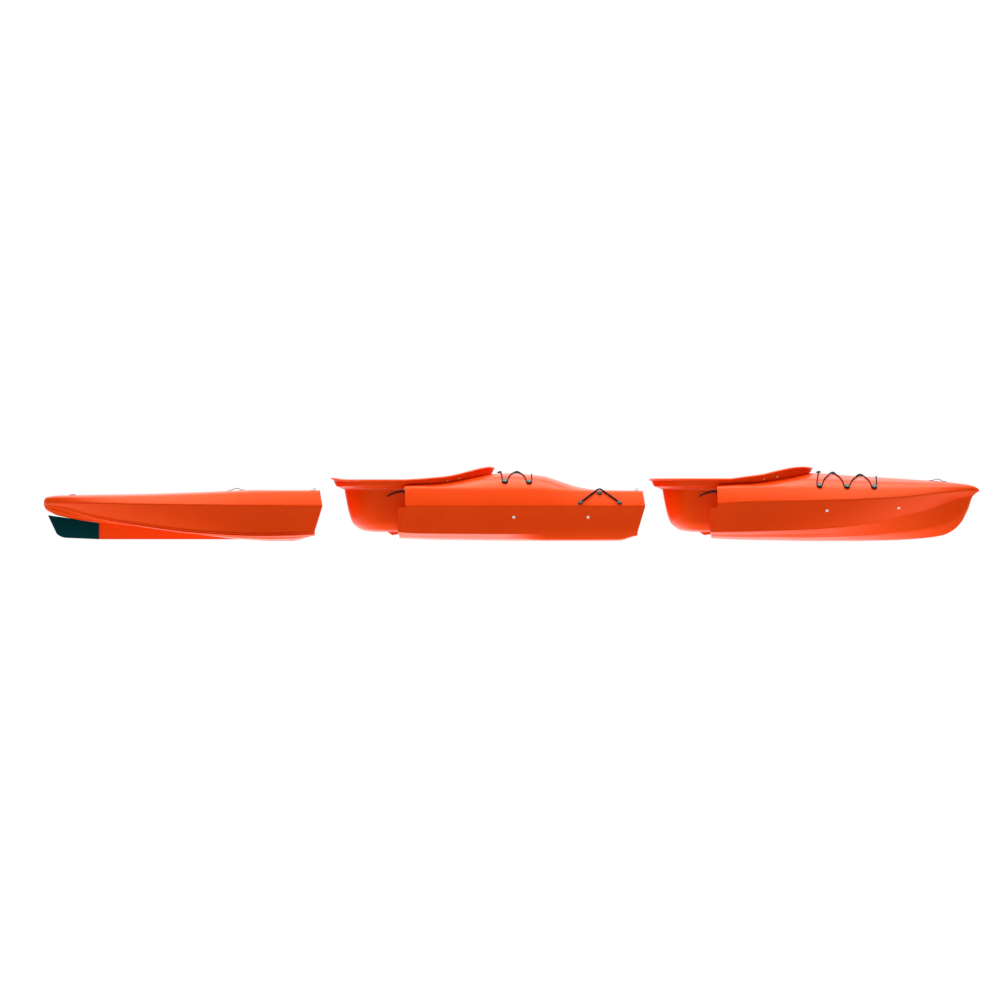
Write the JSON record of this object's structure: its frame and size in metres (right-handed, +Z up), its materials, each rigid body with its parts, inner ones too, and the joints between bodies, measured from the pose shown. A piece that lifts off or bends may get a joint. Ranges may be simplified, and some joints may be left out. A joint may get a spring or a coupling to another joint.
{
  "type": "kayak",
  "caption": "Modular sit-inside touring kayak, its hull sections laid out in line and apart, with cockpit coamings, seat tubs that plug into the next section, deck lacing and a skeg",
  "frame": {"origin": "on the ground, under the middle of the box round the whole layout", "axes": "+X to the bow, +Y to port, +Z up"},
  "size_m": [4.863, 0.72, 0.387],
  "materials": {
    "orange_shell": "satin rotomoulded",
    "black_plastic": "moulded",
    "skeg_rubber": "matte",
    "strap_rubber": "matte",
    "cord": "braided",
    "foam_pad": "woven over foam",
    "rail_alloy": "anodised",
    "stainless": "brushed"
  },
  "bodies": {
    "stern": {"stern_hull": "orange_shell", "skeg": "skeg_rubber", "stern_handle": "black_plastic", "drain_plug": "black_plastic", "stern_hook_right": "stainless", "stern_hook_left": "stainless"},
    "mid": {"mid_hull": "orange_shell", "mid_coaming": "orange_shell", "mid_seat": "black_plastic", "mid_seat_cushion": "foam_pad", "mid_thigh_brace_right": "black_plastic", "mid_thigh_brace_left": "black_plastic", "mid_foot_rail_right": "rail_alloy", "mid_foot_rail_left": "rail_alloy", "mid_rail_bolt_rear_right": "stainless", "mid_rail_bolt_rear_left": "stainless", "mid_rail_bolt_front_right": "stainless", "mid_rail_bolt_front_left": "stainless", "mid_deck_button_1_right": "black_plastic", "mid_deck_button_1_left": "black_plastic", "mid_deck_button_2_right": "black_plastic", "mid_deck_button_2_left": "black_plastic", "mid_bungee": "cord", "mid_joining_strap_right": "strap_rubber", "mid_joining_strap_left": "strap_rubber", "mid_hook_right": "stainless", "mid_hook_left": "stainless", "keeper_cord": "cord", "keeper_pad_rear": "black_plastic", "keeper_pad_front": "black_plastic", "keeper_hook": "black_plastic"},
    "bow": {"bow_hull": "orange_shell", "bow_coaming": "orange_shell", "bow_seat": "black_plastic", "bow_seat_cushion": "foam_pad", "bow_thigh_brace_right": "black_plastic", "bow_thigh_brace_left": "black_plastic", "bow_foot_rail_right": "rail_alloy", "bow_foot_rail_left": "rail_alloy", "bow_rail_bolt_rear_right": "stainless", "bow_rail_bolt_rear_left": "stainless", "bow_rail_bolt_front_right": "stainless", "bow_rail_bolt_front_left": "stainless", "bow_deck_button_1_right": "black_plastic", "bow_deck_button_1_left": "black_plastic", "bow_deck_button_2_right": "black_plastic", "bow_deck_button_2_left": "black_plastic", "bow_deck_button_3_right": "black_plastic", "bow_deck_button_3_left": "black_plastic", "bow_bungee": "cord", "bow_joining_strap_right": "strap_rubber", "bow_joining_strap_left": "strap_rubber", "bow_handle": "black_plastic"},
    "mid_backrest": {"mid_backrest": "foam_pad"},
    "mid_foot_pedal_right": {"mid_foot_pedal_right": "black_plastic"},
    "mid_foot_pedal_left": {"mid_foot_pedal_left": "black_plastic"},
    "bow_backrest": {"bow_backrest": "foam_pad"},
    "bow_foot_pedal_right": {"bow_foot_pedal_right": "black_plastic"},
    "bow_foot_pedal_left": {"bow_foot_pedal_left": "black_plastic"}
  },
  "joints": [
    {"name": "mid_dock", "type": "slide", "parent": "stern", "child": "mid", "axis": [1, 0, 0], "range_m": [-0.432, 0]},
    {"name": "bow_dock", "type": "slide", "parent": "mid", "child": "bow", "axis": [1, 0, 0], "range_m": [-0.372, 0]},
    {"name": "mid_backrest_fold", "type": "hinge", "parent": "mid", "child": "mid_backrest", "pos_m": [-0.7015, 0, 0.096], "axis": [0, 1, 0], "range_deg": [0, 55]},
    {"name": "bow_backrest_fold", "type": "hinge", "parent": "bow", "child": "bow_backrest", "pos_m": [0.9205, 0, 0.096], "axis": [0, 1, 0], "range_deg": [0, 55]},
    {"name": "mid_pedal_slide_right", "type": "slide", "parent": "mid", "child": "mid_foot_pedal_right", "axis": [1, 0, 0], "range_m": [-0.12, 0.12]},
    {"name": "mid_pedal_slide_left", "type": "slide", "parent": "mid", "child": "mid_foot_pedal_left", "axis": [1, 0, 0], "range_m": [-0.12, 0.12]},
    {"name": "bow_pedal_slide_right", "type": "slide", "parent": "bow", "child": "bow_foot_pedal_right", "axis": [0.9492, 0.3129, 0.033], "range_m": [-0.12, 0.12]},
    {"name": "bow_pedal_slide_left", "type": "slide", "parent": "bow", "child": "bow_foot_pedal_left", "axis": [0.9492, -0.3129, 0.033], "range_m": [-0.12, 0.12]}
  ]
}
